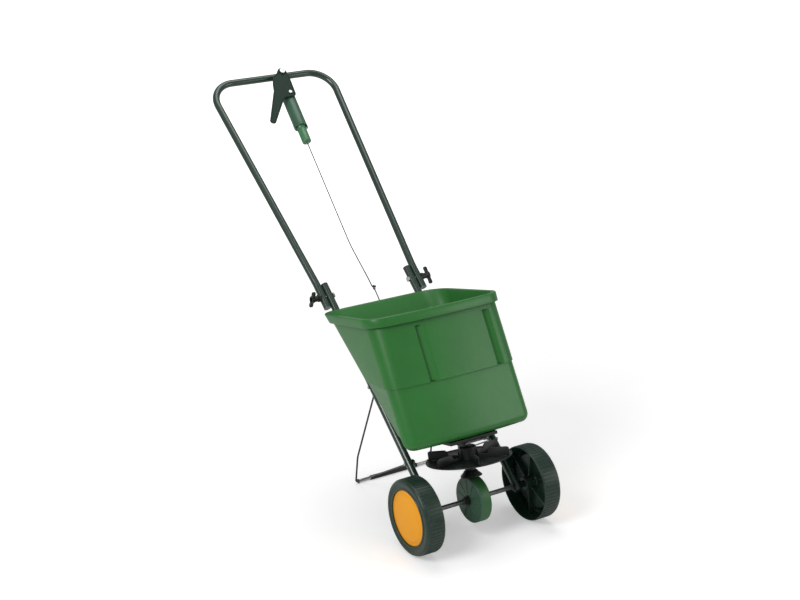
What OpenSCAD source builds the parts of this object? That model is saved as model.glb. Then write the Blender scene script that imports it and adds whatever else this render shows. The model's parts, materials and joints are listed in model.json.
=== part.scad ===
// Walk-behind rotary garden spreader, parked on its two wheels and its wire foot.
// Millimetres. Z is up, the machine drives towards -Y, the floor is Z = 0.

/* [Stance] */
// Wheel diameter
wheel_d = 200; // [170:5:240]
// Width of each wheel
wheel_w = 52; // [40:1:60]
// Distance between the inner faces of the two wheels
wheel_gap = 300; // [296:1:330]
// Lean of the legs from upright when parked, degrees
leg_lean = 50.6; // [46:0.2:54]
// Backward tilt of the hopper when parked, degrees
park_tilt = 14.8; // [10:0.2:18]

/* [Tubes] */
// Outer diameter of the leg and handle tubes
tube_d = 20; // [18:0.5:24]
// Wall of the leg and handle tubes
tube_wall = 1.5; // [1:0.1:2.5]
// Distance of each leg from the middle
leg_x = 129; // [126:0.5:132]
// Length of a leg above the axle
leg_len = 692; // [670:1:760]
// Distance of the fold bolt below the top of a leg
fold_drop = 35; // [25:1:45]
// Reach of the top bar along the handle, from the axle
handle_len = 1398; // [1250:1:1650]
// Half width of the handle at the virtual top corners
handle_hw = 195; // [180:1:205]
// Bend radius of the handle's top corners
handle_bend = 70; // [50:1:90]

/* [Hopper] */
// Height of the rim above the axle, square to the hopper floor
rim_h = 498; // [440:1:560]
// Height of the hopper floor's underside above the axle
floor_h = 166; // [160:1:172]
// Height of the step below the belt, above the axle
belt_h = 321; // [290:1:350]
// Half width of the hopper front at the rim
front_hw = 190; // [170:1:194]
// Half width of the hopper back at the rim
back_hw = 181; // [165:1:186]
// Half width of the hopper back at the floor
back_floor_hw = 146; // [142:1:160]
// Distance of the front wall behind the axle plane, at the rim
front_rim_y = 52; // [40:1:70]
// Distance of the front wall ahead of the axle plane, at the floor
front_floor_y = 45; // [40:1:60]
// Bow of the long walls
wall_bow = 11; // [4:1:16]
// Wall of the hopper
hopper_wall = 3; // [2:0.5:4]
// Overhang of the rim
rim_out = 10; // [6:1:12]
// Height of the rim's skirt
rim_skirt = 23; // [15:1:30]
// Proud height of the belt
belt_step = 3; // [1:0.5:5]

/* [Drive] */
// Diameter of the axle
axle_d = 12; // [10:0.5:15]
// Diameter of the upright drive shaft
shaft_d = 8; // [6:0.5:9.5]
// Radius of the gearbox casing
gearbox_r = 60; // [58:0.5:66]
// Teeth on the crown gear
crown_teeth = 40; // [40:5:40]
// Teeth on the pinion
pinion_teeth = 8; // [8:1:8]
// Mesh radius of the crown gear
crown_r = 44; // [43:0.5:45]
// Outer radius of the impeller
impeller_r = 111; // [95:1:115]
// Height of the impeller disc above the axle
impeller_h = 103; // [98:1:108]
// Number of impeller vanes
vanes = 6; // [4:1:8]

/* [Control] */
// Sideways place of the lever's pivot bolt
pivot_x = 35; // [25:1:45]
// Diameter of the control rod wire
rod_d = 3; // [2.5:0.1:4]
// Outer diameter of the rate barrel
barrel_d = 38; // [34:1:38]
// Outer diameter of the rate dial
dial_d = 26; // [20:1:30]
// Travel of the hand lever, degrees
lever_swing = 34.5; // [20:0.5:35]

/* [Stand] */
// Distance of the foot bar behind the axle
foot_y = 404; // [360:1:450]
// Half length of the foot bar
foot_hw = 116; // [110:1:118]
// Outer diameter of the foot sleeve
sleeve_d = 12.5; // [11:0.5:18]
// Wire of the stand struts
strut_d = 5; // [4:0.5:6]
// Wire of the stand braces
brace_d = 3.5; // [3:0.5:5]
// Distance of the strut bolts up the legs
strut_s = 370; // [340:1:400]
// Distance of the brace bolts up the legs
brace_s = 140; // [120:1:150]

/* [Fits] */
// Radial play of a shaft that turns in a hole
run = 0.05; // [0.03:0.01:0.1]
// Gap between faces that pass each other
gap = 0.3; // [0.2:0.05:0.5]
// Diameter of the bolts
bolt_d = 6; // [5:0.5:7]

/* [Hidden] */
$fn = 48;

wheel_r = wheel_d / 2;
tube_r = tube_d / 2;
axle_r = axle_d / 2;
shaft_r = shaft_d / 2;
bolt_r = bolt_d / 2;
rod_r = rod_d / 2;
slope = leg_lean - park_tilt;          // lean of the legs in the hopper's own frame
nut_h = 5;
nut_r = 6;
head_h = 4;

// The rearmost point is the rim of the pivot bolt's nut, the foremost is the wheels.
rear_reach = handle_len * sin(leg_lean) + (tube_r + nut_h) * cos(leg_lean) + nut_r * sin(leg_lean);
axle_y = (wheel_r - rear_reach) / 2;

// ---- frames -------------------------------------------------------------------------------
// Hopper's own frame: origin on the axle, Z square to the hopper floor, +Y to the back.
module machine() { translate([0, axle_y, wheel_r]) rotate([-park_tilt, 0, 0]) children(); }
// Leg frame: origin on the axle, Z up along the legs, +Y square to them, down and back.
module on_leg() { translate([0, axle_y, wheel_r]) rotate([-leg_lean, 0, 0]) children(); }
// The point of the floor frame that a leg-frame point lies at.
function leg_point(p) = [p[0], axle_y + p[2] * sin(leg_lean) + p[1] * cos(leg_lean),
    wheel_r + p[2] * cos(leg_lean) - p[1] * sin(leg_lean)];
// Hopper-frame [y, z] as leg-frame [q, s], and the way back.
function to_leg(p) = [p[0] * cos(slope) - p[1] * sin(slope), p[0] * sin(slope) + p[1] * cos(slope)];

// ---- helpers ------------------------------------------------------------------------------
module along_x(a, b, r, r2 = -1) {
    translate([a, 0, 0]) rotate([0, 90, 0]) cylinder(h = b - a, r1 = r, r2 = r2 < 0 ? r : r2);
}
module along_y(a, b, r) { translate([0, a, 0]) rotate([-90, 0, 0]) cylinder(h = b - a, r = r); }
module segment(a, b, r) {
    v = b - a;
    translate(a) rotate([0, acos(v[2] / norm(v)), atan2(v[1], v[0])]) cylinder(h = norm(v), r = r);
}
function unit(v) = v / norm(v);
// Length that the bend at corner i takes from each straight beside it.
function bend_cut(points, bends, i) = i == 0 || i == len(points) - 1 ? 0 :
    bends[i - 1] * tan(acos(unit(points[i] - points[i - 1]) * unit(points[i + 1] - points[i])) / 2);
// Places and directions along a path through the points, with a round bend at each corner between.
function bend_steps(way, onward, centre, radius) =
    let (axis = unit(cross(way, onward)), spoke = cross(way, axis), turn = acos(way * onward),
        steps = ceil(turn / 11))
    [for (k = [0 : steps]) let (a = turn * k / steps)
        [centre + radius * (spoke * cos(a) + way * sin(a)), way * cos(a) - spoke * sin(a)]];
function bend_centre(points, bends, i) =
    let (way = unit(points[i] - points[i - 1]), onward = unit(points[i + 1] - points[i]))
    points[i] - way * bend_cut(points, bends, i) - cross(way, unit(cross(way, onward))) * bends[i - 1];
function path(points, bends) = let (last = len(points) - 1) [
    [points[0], unit(points[1] - points[0])],
    for (i = [1 : last - 1]) each bend_steps(unit(points[i] - points[i - 1]),
        unit(points[i + 1] - points[i]), bend_centre(points, bends, i), bends[i - 1]),
    [points[last], unit(points[last] - points[last - 1])]];
function ring(place, r, sides) =
    let (across = unit(cross([0, 1, 0], place[1])), square_to = cross(place[1], across))
    [for (j = [0 : sides - 1]) let (a = 360 * j / sides)
        place[0] + r * (across * cos(a) + square_to * sin(a))];
function skin(a, b, sides, out) = [for (j = [0 : sides - 1]) let (m = (j + 1) % sides)
    each out ? [[a + j, b + j, b + m], [a + j, b + m, a + m]] : [[a + j, b + m, b + j], [a + j, a + m, b + m]]];
// A bent wire; no stretch of it may run along Y.
module wire(points, bends, r, sides = 12) {
    places = path(points, bends);
    n = len(places);
    polyhedron([for (place = places) each ring(place, r, sides)],
        concat([[for (j = [0 : sides - 1]) j]], [[for (j = [1 : sides]) n * sides - j]],
            [for (i = [0 : n - 2]) each skin(i * sides, (i + 1) * sides, sides, true)]));
}
// A bent tube, likewise.
module bent_tube(points, bends, r, wall, sides = 24) {
    places = path(points, bends);
    n = len(places);
    inner = n * sides;
    polyhedron(concat([for (place = places) each ring(place, r, sides)],
            [for (place = places) each ring(place, r - wall, sides)]),
        concat(skin(inner, 0, sides, true), skin(inner - sides, 2 * inner - sides, sides, true),
            [for (i = [0 : n - 2]) each skin(i * sides, (i + 1) * sides, sides, true)],
            [for (i = [0 : n - 2]) each skin(inner + i * sides, inner + (i + 1) * sides, sides, false)]));
}
module both_sides() { children(); mirror([1, 0, 0]) children(); }
module slot_2d(length, width) {
    square([length - width, width], center = true);
    for (e = [-1, 1]) translate([e * (length - width) / 2, 0]) circle(d = width);
}
// Hexagon nut with its hole along Z.
module nut(r, h, hole_r) {
    difference() {
        cylinder(h = h, r = r, $fn = 6);
        translate([0, 0, -1]) cylinder(h = h + 2, r = hole_r);
    }
}

// ---- hopper -------------------------------------------------------------------------------
back_wall_q = -tube_r - gap;           // outer face of the back wall, just ahead of the legs
rim_t = 2.5;
rim_draft = 1.5;
corner_front = 45;
corner_back = 55;
corner_shrink = 12;
edge_r = 22;
notch_hw = tube_r + 2.5;
outlet_w = 44;
outlet_l = 11;
outlet_y = -33;
corner_steps = 7;
bow_steps = 12;
function back_y(h) = (back_wall_q + h * sin(slope)) / cos(slope);
function part_up(h) = (h - floor_h) / (rim_h - floor_h);
function corner(x, y, r, from) = [for (k = [0 : corner_steps])
    [x + r * cos(from + 90 * k / corner_steps), y + r * sin(from + 90 * k / corner_steps)]];
// The hopper's outline at height h, brought in all round by inset, as 3-D points.
function outline(h, inset) =
    let (t = part_up(h), rest = corner_shrink * (1 - t) + inset,
        front = -front_floor_y + (front_rim_y + front_floor_y) * t + inset, back = back_y(h) - inset,
        rf = corner_front - rest, rb = corner_back - rest,
        fx = front_hw - 2 * (1 - t) - inset - rf,
        bx = back_floor_hw + (back_hw - back_floor_hw) * t - inset - rb)
    [for (p = concat([for (k = [1 : bow_steps - 1]) let (u = 2 * k / bow_steps - 1)
            [u * fx, front - wall_bow * (1 - u * u)]],
        corner(fx, front + rf, rf, -90), corner(bx, back - rb, rb, 0),
        corner(-bx, back - rb, rb, 90), corner(-fx, front + rf, rf, 180))) [p[0], p[1], h]];
// Rounded edge between floor and walls: height above the floor and inset, as shares of its radius.
floor_edge = [[0, 0.9], [0.15, 0.45], [0.45, 0.16], [1, 0]];
module hopper_shell() {
    low = belt_step;
    levels = concat(
        [for (e = floor_edge) [floor_h + edge_r * e[0], low + edge_r * e[1]]],
        [[belt_h, low], [belt_h + 0.6, 0], [rim_h - rim_t, 0], [rim_h - rim_t - 0.2, rim_t - rim_out],
            [rim_h - rim_skirt, rim_t + rim_draft - rim_out], [rim_h - rim_skirt + 0.2, rim_draft - rim_out],
            [rim_h, -rim_out], [rim_h, hopper_wall], [belt_h + hopper_wall, hopper_wall],
            [belt_h + hopper_wall - 0.6, hopper_wall + low]],
        [for (k = [3 : -1 : 0]) [floor_h + hopper_wall + (edge_r - hopper_wall) * floor_edge[k][0],
            hopper_wall + low + (edge_r - hopper_wall) * floor_edge[k][1]]]);
    sides = bow_steps - 1 + 4 * (corner_steps + 1);
    last = (len(levels) - 1) * sides;
    polyhedron([for (level = levels) each outline(level[0], level[1])],
        concat([[for (j = [0 : sides - 1]) j]], [[for (j = [1 : sides]) last + sides - j]],
            [for (i = [0 : len(levels) - 2]) each skin(i * sides, (i + 1) * sides, sides, true)]));
}
module hopper() color("forestgreen") machine() difference() {
    hopper_shell();
    rotate([-slope, 0, 0]) both_sides() {
        translate([leg_x - notch_hw, back_wall_q - 0.5, to_leg([back_y(rim_h), rim_h])[1] - 2 * rim_skirt])
            cube([2 * notch_hw, 2 * tube_d, 4 * rim_skirt]);
        for (s = hopper_bolt_s) translate([leg_x, 0, s]) along_y(-3 * tube_r, 0, hopper_bolt_r + gap);
    }
    translate([0, 0, floor_h - 1]) {
        cylinder(h = 10, r = shaft_r + 2);
        translate([-outlet_w / 2, outlet_y, 0]) cube([outlet_w, outlet_l, 10]);
        both_sides() for (y = base_screw_y) translate([base_screw_x, y, 0]) cylinder(h = 10, r = 2.2);
    }
}

// Bolts through the back wall into the legs.
hopper_bolt_s = [480, 545];
hopper_bolt_r = 2.5;
bolt_head_q = back_wall_q - hopper_wall - 2;
module hopper_bolts() color("silver") on_leg() both_sides() for (s = hopper_bolt_s)
    translate([leg_x, 0, s]) {
        along_y(bolt_head_q - 2.5, bolt_head_q, 1.8 * hopper_bolt_r);
        along_y(bolt_head_q - 1, tube_r + nut_h - 1, hopper_bolt_r);
        translate([0, tube_r, 0]) rotate([-90, 0, 0]) nut(1.8 * hopper_bolt_r, nut_h - 2, hopper_bolt_r);
    }

// ---- outlet plate, shutter and crank -------------------------------------------------------
base_t = 8;
base_hw = 70;
base_front = -40;
base_back = 92;
base_screw_x = 58;
base_screw_y = [-25, 70];
rail_x = 33;
shutter_top = floor_h - base_t - gap;
shutter_t = 3;
sleeve_r = shaft_r + 6;
arm_w = [-9, -1];                      // side span of the shutter's arm and the crank's ear
crank_at = [136, floor_h + 10];        // hopper-frame place of the crank's pivot
crank_x = [0, 4];
crank_pin_r = 2.5;
down_arm = 29;
back_arm = 36;
crank_turn = 26.7;                     // turn of the crank over the full travel
rod_slant = 5.5;
shutter_travel = down_arm * sin(crank_turn);
module base_plate() color([0.1, 0.12, 0.11]) machine() difference() {
    union() {
        translate([-base_hw, base_front, floor_h - base_t])
            cube([2 * base_hw, base_back - base_front, base_t]);
        both_sides() translate([rail_x, base_front, shutter_top - shutter_t - 4])
            cube([6, base_back - base_front, shutter_t + 4 + gap + 1]);
        both_sides() translate([rail_x - 4, base_front, shutter_top - shutter_t - 4])
            cube([5, base_back - base_front, 4 - gap]);
        translate([0, 0, shutter_top - 12]) cylinder(h = 13, r = sleeve_r);
        translate([arm_w[0], base_back - 2, floor_h - base_t])
            cube([arm_w[1] - arm_w[0], crank_at[0] - base_back + 9, base_t - 1]);
        translate([arm_w[0], crank_at[0] - 7, floor_h - base_t])
            cube([arm_w[1] - arm_w[0], 14, crank_at[1] - floor_h + base_t + 7]);
    }
    translate([0, 0, shutter_top - 13]) cylinder(h = 40, r = shaft_r + run);
    translate([-outlet_w / 2, outlet_y, shutter_top - 20]) cube([outlet_w, outlet_l, 60]);
    translate([0, crank_at[0], crank_at[1]]) along_x(-20, 20, crank_pin_r);
    both_sides() for (y = base_screw_y) translate([base_screw_x, y, floor_h - 20]) cylinder(h = 30, r = 2);
}
module shutter_plate() color("dimgray") machine() {
    plate_hw = rail_x - 2 * gap;
    z = shutter_top - shutter_t;
    difference() {
        union() {
            translate([-plate_hw, base_front - 8, z]) cube([2 * plate_hw, 110, shutter_t]);
            translate([arm_w[0], 60, z]) cube([arm_w[1] - arm_w[0], crank_at[0] - 53, shutter_t]);
            translate([arm_w[0], crank_at[0] - 7, crank_at[1] - down_arm - 8])
                cube([arm_w[1] - arm_w[0], 14, z - crank_at[1] + down_arm + 9]);
        }
        translate([-outlet_w / 2, outlet_y - shutter_travel, z - 1]) cube([outlet_w, outlet_l, 10]);
        hull() for (y = [0, -shutter_travel - 2])
            translate([0, y + 1, z - 1]) cylinder(h = shutter_t + 2, r = sleeve_r + 1);
        translate([arm_w[0] - 1, crank_at[0], crank_at[1] - down_arm + 1.5]) rotate([0, 90, 0])
            linear_extrude(arm_w[1] - arm_w[0] + 2) slot_2d(9, 5);
    }
}
crank_leg = to_leg(crank_at);
arc_rise = back_arm * (1 - cos(crank_turn / 2));     // the crank's end strays this far from a straight
rod_foot = [crank_leg[0] + (back_arm + arc_rise / 2) * cos(rod_slant - crank_turn / 2),
    crank_leg[1] + (back_arm + arc_rise / 2) * sin(rod_slant - crank_turn / 2)];
crank_arm_turn = rod_slant - crank_turn / 2 - slope;
module shutter_crank() color("dimgray") machine() translate([crank_x[0], crank_at[0], crank_at[1]]) {
    rotate([90, 0, 90]) linear_extrude(crank_x[1] - crank_x[0]) difference() {
        union() {
            circle(r = 7);
            translate([-3, -down_arm]) square([6, down_arm]);
            translate([0, -down_arm]) circle(r = 4);
            rotate(crank_arm_turn) translate([0, -4]) square([back_arm, 8]);
            rotate(crank_arm_turn) translate([back_arm, 0]) circle(r = 5.5);
        }
        circle(r = crank_pin_r + run);
        rotate(crank_arm_turn) translate([back_arm, 0]) circle(r = rod_r + arc_rise / 2 + gap);
    }
    translate([0, 0, -down_arm]) along_x(arm_w[0], 1, 2);
}
module crank_pin() color("silver") machine() translate([0, crank_at[0], crank_at[1]]) {
    along_x(arm_w[0] - 2, arm_w[0], 4.5);
    along_x(arm_w[0] - 1, crank_x[1] + gap, crank_pin_r);
    along_x(crank_x[1] + gap, crank_x[1] + gap + 2, 4.5);
}

// ---- legs ---------------------------------------------------------------------------------
leg_foot = 14;
bush_r = axle_r + 2;
fold_s = leg_len - fold_drop;
module tube(length) difference() {
    cylinder(h = length, r = tube_r);
    translate([0, 0, -1]) cylinder(h = length + 2, r = tube_r - tube_wall);
}
module lower_leg() difference() {
    translate([leg_x, 0, -leg_foot]) tube(leg_len + leg_foot);
    along_x(0, 2 * leg_x, bush_r);
    translate([0, 0, fold_s]) along_x(0, 2 * leg_x, bolt_r);
    for (s = [strut_s, brace_s]) translate([0, 0, s]) along_x(0, 2 * leg_x, stand_bolt_r);
    for (s = hopper_bolt_s) translate([leg_x, 0, s]) along_y(-tube_d, tube_d, hopper_bolt_r);
}
module lower_leg_right() color([0.13, 0.24, 0.18]) on_leg() lower_leg();
module lower_leg_left() color([0.13, 0.24, 0.18]) on_leg() mirror([1, 0, 0]) lower_leg();
module leg_plug() translate([leg_x, 0, leg_len]) {
    cylinder(h = 3, r = tube_r);
    translate([0, 0, -12]) cylinder(h = 13, r = tube_r - tube_wall);
}
module leg_plug_right() color([0.08, 0.1, 0.09]) on_leg() leg_plug();
module leg_plug_left() color([0.08, 0.1, 0.09]) on_leg() mirror([1, 0, 0]) leg_plug();
// Flanged bush in the foot of a leg, in which the axle turns.
module axle_bush() difference() {
    union() {
        along_x(leg_x - tube_r, leg_x + tube_r + 0.5, bush_r);
        along_x(leg_x + tube_r, leg_x + tube_r + 2, bush_r + 3);
        along_x(leg_x - tube_r - 2, leg_x - tube_r, bush_r + 3);
    }
    along_x(0, 2 * leg_x, axle_r + run);
}
module axle_bush_right() color([0.08, 0.1, 0.09]) on_leg() axle_bush();
module axle_bush_left() color([0.08, 0.1, 0.09]) on_leg() mirror([1, 0, 0]) axle_bush();

// ---- wheels and axle ----------------------------------------------------------------------
wheel_in = wheel_gap / 2;
wheel_out = wheel_in + wheel_w;
tread_t = 5;
recess_r = wheel_r * 0.72;
recess_depth = 16;
web_t = 4;
hub_r = 17;
hub_out = wheel_out - recess_depth + 2;
hub_in = wheel_in + 2;
cap_t = 2.5;
pin_r = 2;
drive_pin_x = wheel_in + 14;
// Half section of a wheel: X is the radius, Y runs outwards along the axle.
module wheel_section(bore_r) {
    translate([wheel_r - tread_t, wheel_in]) square([tread_t - 2, wheel_w - 8]);
    translate([wheel_r - tread_t, wheel_in + 3]) square([tread_t, wheel_w - 11]);
    translate([wheel_r - 3, wheel_in + 3]) circle(r = 3);
    translate([wheel_r - 8, wheel_out - 8]) circle(r = 8);
    translate([recess_r, wheel_out - 4]) square([wheel_r - 8 - recess_r, 4]);
    translate([recess_r, wheel_out - recess_depth]) square([3, recess_depth]);
    translate([bore_r, wheel_out - recess_depth - web_t]) square([recess_r + 3 - bore_r, web_t]);
    translate([bore_r, hub_in]) square([hub_r - bore_r, hub_out - hub_in]);
}
module wheel(bore_r) {
    rotate([0, 90, 0]) rotate_extrude($fn = 96) wheel_section(bore_r);
    for (a = [0 : 60 : 300]) rotate([a, 0, 0]) translate([wheel_in + 14, -1.5, hub_r - 1])
        cube([wheel_w - recess_depth - 15, 3, wheel_r - tread_t - hub_r + 2]);
}
module wheel_axis() { translate([0, axle_y, wheel_r]) children(); }
module wheel_right() color([0.2, 0.31, 0.25]) wheel_axis() difference() {
    wheel(axle_r);
    drive_pin_hole();
}
module wheel_left() color([0.2, 0.31, 0.25]) wheel_axis() mirror([1, 0, 0]) wheel(axle_r + run);
module drive_pin_hole() translate([drive_pin_x, 0, -hub_r - 1]) cylinder(h = 2 * hub_r + 2, r = pin_r);
// Snap-in cap: X is the radius, Y runs outwards.
module cap_section() {
    r = recess_r - 0.2;
    translate([r - cap_t, wheel_out - recess_depth]) square([cap_t, recess_depth - 3]);
    translate([0, wheel_out - 3 - cap_t + 1]) square([r, cap_t]);
    translate([0, wheel_out - 3]) square([r * 0.82, cap_t]);
}
module wheel_cap() rotate([0, 90, 0]) rotate_extrude($fn = 96) cap_section();
module wheel_cap_right() color("orange") wheel_axis() wheel_cap();
module wheel_cap_left() color("orange") wheel_axis() mirror([1, 0, 0]) wheel_cap();
axle_end = hub_out + 3.5;
module axle() color([0.2, 0.2, 0.2]) wheel_axis() difference() {
    along_x(-axle_end, axle_end, axle_r);
    drive_pin_hole();
    translate([gear_pin_x, 0, -hub_r]) cylinder(h = 2 * hub_r, r = pin_r);
}
module drive_pin() color("silver") wheel_axis()
    translate([drive_pin_x, 0, -hub_r]) cylinder(h = 2 * hub_r, r = pin_r);
module gear_pin() color("silver") wheel_axis()
    translate([gear_pin_x, 0, -gear_hub_r]) cylinder(h = 2 * gear_hub_r, r = pin_r);
module ring_x(a, b, r, hole) difference() { along_x(a, b, r); along_x(a - 1, b + 1, hole); }
module axle_spacers() color([0.08, 0.1, 0.09]) wheel_axis() both_sides()
    ring_x(leg_x + tube_r + 2 + gap, hub_in - gap, bush_r + 1, axle_r);
module axle_clips() color("silver") wheel_axis() both_sides() {
    ring_x(hub_out + gap, hub_out + gap + 1.2, axle_r + 5, axle_r);
    ring_x(hub_out + gap + 1.2, hub_out + gap + 2.2, axle_r + 3, axle_r);
}

// ---- gears and gearbox ----------------------------------------------------------------------
pinion_r = crown_r * pinion_teeth / crown_teeth;
addendum = 1.8;
dedendum = 2.4;
tooth_t = 2.3;
tooth_tip_t = 1.3;
face_w = 8;
crown_root_x = -pinion_r - dedendum;
crown_back_x = crown_root_x - 4;
gear_hub_r = axle_r + 5;
gear_pin_x = crown_back_x + 9;
casing_wall = 2.5;
casing_left_x = crown_back_x - 1 - casing_wall;
casing_seam_x = -12;
casing_right_x = pinion_r + addendum + 1 + casing_wall;
neck_r = 12;
neck_top = gearbox_r + 14;
shaft_foot = 34;
module crown_gear() color([0.75, 0.75, 0.7]) wheel_axis() rotate([-park_tilt, 0, 0]) difference() {
    union() {
        along_x(crown_back_x, crown_root_x, crown_r + face_w / 2 + 2);
        along_x(crown_back_x, crown_back_x + 13, gear_hub_r);
        for (k = [0 : crown_teeth - 1]) rotate([(k + 0.5) * 360 / crown_teeth, 0, 0])
            translate([0, 0, crown_r - face_w / 2]) linear_extrude(face_w)
                polygon([[crown_root_x - 0.5, -tooth_t * 0.62], [-pinion_r, -tooth_t / 2],
                    [-pinion_r + addendum, -tooth_tip_t / 2], [-pinion_r + addendum, tooth_tip_t / 2],
                    [-pinion_r, tooth_t / 2], [crown_root_x - 0.5, tooth_t * 0.62]]);
    }
    along_x(crown_back_x - 1, 20, axle_r);
    rotate([park_tilt, 0, 0]) translate([gear_pin_x, 0, -hub_r]) cylinder(h = 2 * hub_r, r = pin_r);
}
module pinion() color([0.8, 0.78, 0.7]) machine() difference() {
    union() {
        translate([0, 0, crown_r - face_w / 2]) linear_extrude(face_w) {
            circle(r = pinion_r - dedendum);
            for (k = [0 : pinion_teeth - 1]) rotate(k * 360 / pinion_teeth)
                polygon([[0, -tooth_t * 0.62], [pinion_r, -tooth_t / 2], [pinion_r + addendum, -tooth_tip_t / 2],
                    [pinion_r + addendum, tooth_tip_t / 2], [pinion_r, tooth_t / 2], [0, tooth_t * 0.62]]);
        }
    }
    cylinder(h = 2 * crown_r, r = shaft_r);
}
module casing_cup(a, b, open_at_a) difference() {
    along_x(a, b, gearbox_r);
    along_x(open_at_a ? a - 1 : a + casing_wall, open_at_a ? b - casing_wall : b + 1,
        gearbox_r - casing_wall);
}
bush_out = axle_r + 4;
module gearbox_left() color([0.33, 0.43, 0.37]) machine() difference() {
    union() {
        casing_cup(casing_left_x, casing_seam_x, false);
        for (a = [0 : 45 : 315]) rotate([a, 0, 0])
            translate([casing_left_x - 1.2, -1, bush_out + 3]) cube([2, 2, gearbox_r * 0.45]);
    }
    along_x(casing_left_x - 20, 20, bush_out);
}
module gearbox_right() color([0.22, 0.41, 0.24]) machine() difference() {
    union() {
        casing_cup(casing_seam_x, casing_right_x, true);
        intersection() {
            translate([0, 0, gearbox_r - 2]) cylinder(h = neck_top - gearbox_r + 2, r = neck_r);
            translate([casing_seam_x, -50, 0]) cube([100, 100, 100]);
        }
        // shelf that holds the foot of the drive shaft
        translate([-pinion_r + addendum + 1.5, -9, shaft_foot - 12])
            cube([casing_right_x - casing_wall + pinion_r - addendum - 1, 18, 13.5]);
    }
    translate([0, 0, shaft_foot]) cylinder(h = 80, r = shaft_r + run);
    along_x(-50, casing_right_x + 20, bush_out);
}
module flanged_bush(a, b, flange) difference() {
    union() {
        along_x(a, b, bush_out);
        along_x(flange[0], flange[1], bush_out + 3, bush_out + 3);
    }
    along_x(a - 1, b + 1, axle_r + run);
}
module gearbox_bush_left() color([0.07, 0.12, 0.09]) machine()
    flanged_bush(casing_left_x - 14, casing_left_x + casing_wall, [casing_left_x - 6, casing_left_x]);
module gearbox_bush_right() color([0.07, 0.12, 0.09]) machine()
    flanged_bush(casing_right_x - casing_wall, casing_right_x + 9, [casing_right_x, casing_right_x + 5]);
hood_top = impeller_h - 15;
module gearbox_hood() color([0.05, 0.08, 0.06]) machine() difference() {
    union() {
        translate([0, 0, gearbox_r]) cylinder(h = hood_top - gearbox_r, r1 = 28, r2 = 9);
        translate([-28, -18, gearbox_r - 16]) cube([54, 36, 17]);
    }
    along_x(casing_left_x - 1.3, casing_right_x, gearbox_r);
    cylinder(h = neck_top, r = neck_r);
    cylinder(h = 200, r = shaft_r + 0.6);
}

// ---- drive shaft, impeller, agitator ---------------------------------------------------------
impeller_hub_r = 22;
impeller_hub_top = impeller_h + 36;
vane_h = 27;
vane_t = 2.5;
impeller_pin_h = impeller_hub_top - 10;
agitator_h = floor_h + 9;
module drive_shaft() color("silver") machine() difference() {
    translate([0, 0, shaft_foot]) cylinder(h = agitator_h + 18 - shaft_foot, r = shaft_r);
    translate([0, 0, impeller_pin_h]) along_x(-40, 40, 1.5);
}
module impeller() color([0.05, 0.08, 0.06]) machine() difference() {
    union() {
        translate([0, 0, impeller_h]) cylinder(h = 2.5, r = impeller_r);
        translate([0, 0, impeller_h - 4]) cylinder(h = impeller_hub_top - impeller_h + 4, r = impeller_hub_r);
        difference() {
            translate([0, 0, impeller_h]) cylinder(h = 5, r = impeller_r);
            translate([0, 0, impeller_h - 1]) cylinder(h = 8, r = impeller_r - 2.5);
        }
        for (k = [0 : vanes - 1]) rotate(k * 360 / vanes + 12) rotate([90, 0, 0])
            translate([0, 0, -vane_t / 2]) linear_extrude(vane_t)
                polygon([[impeller_hub_r - 2, impeller_h + 1], [impeller_r - 3, impeller_h + 1],
                    [impeller_r - 3, impeller_h + vane_h - 2], [impeller_r - 8, impeller_h + vane_h],
                    [impeller_r * 0.55, impeller_h + vane_h], [impeller_r * 0.5, impeller_h + 12],
                    [impeller_hub_r - 2, impeller_h + 12]]);
    }
    cylinder(h = 400, r = shaft_r);
    translate([0, 0, impeller_pin_h]) along_x(-40, 40, 1.5);
}
module impeller_pin() color("silver") machine() translate([0, 0, impeller_pin_h])
    along_x(-impeller_hub_r, impeller_hub_r, 1.5);
module agitator() color([0.05, 0.08, 0.06]) machine() translate([0, 0, agitator_h]) difference() {
    union() {
        cylinder(h = 14, r = shaft_r + 4);
        for (a = [20, 200]) rotate(a) {
            translate([0, -3, 0]) cube([36, 6, 5]);
            translate([36, 0, 0]) cylinder(h = 9, r = 4);
        }
    }
    translate([0, 0, -1]) cylinder(h = 30, r = shaft_r);
}

// ---- handle -------------------------------------------------------------------------------
side_x = leg_x + tube_d + 0.8;         // handle tubes run just outside the legs
handle_foot = fold_s - fold_drop;
splay_s = leg_len + 8;                 // the tubes splay outwards from here
splay_bend = 120;
module upper_handle() color([0.13, 0.24, 0.18]) on_leg() difference() {
    bent_tube([[-side_x, 0, handle_foot], [-side_x, 0, splay_s], [-handle_hw, 0, handle_len],
        [handle_hw, 0, handle_len], [side_x, 0, splay_s], [side_x, 0, handle_foot]],
        [splay_bend, handle_bend, handle_bend, splay_bend], tube_r, tube_wall);
    translate([0, 0, fold_s]) along_x(-2 * side_x, 2 * side_x, bolt_r + run);
    translate([pivot_x, 0, handle_len]) along_y(-tube_d, tube_d, bolt_r);
}
saddle_out = side_x + tube_r + 4;
module saddle_washers() color([0.08, 0.1, 0.09]) on_leg() difference() {
    both_sides() translate([0, 0, fold_s]) along_x(side_x + tube_r - 4, saddle_out, 10);
    both_sides() translate([side_x, 0, handle_foot]) cylinder(h = 3 * fold_drop, r = tube_r);
    translate([0, 0, fold_s]) along_x(-2 * side_x, 2 * side_x, bolt_r + run);
}
knob_in = saddle_out + gap;
knob_wing_x = knob_in + 12;
module fold_bolt() translate([0, 0, fold_s]) {
    along_x(leg_x - tube_r - head_h, leg_x - tube_r, 1.2 * bolt_d, 1.2 * bolt_d);
    along_x(leg_x - tube_r - 1, knob_wing_x + 2, bolt_r);
}
module fold_bolt_right() color("silver") on_leg() fold_bolt();
module fold_bolt_left() color("silver") on_leg() mirror([1, 0, 0]) fold_bolt();
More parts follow.
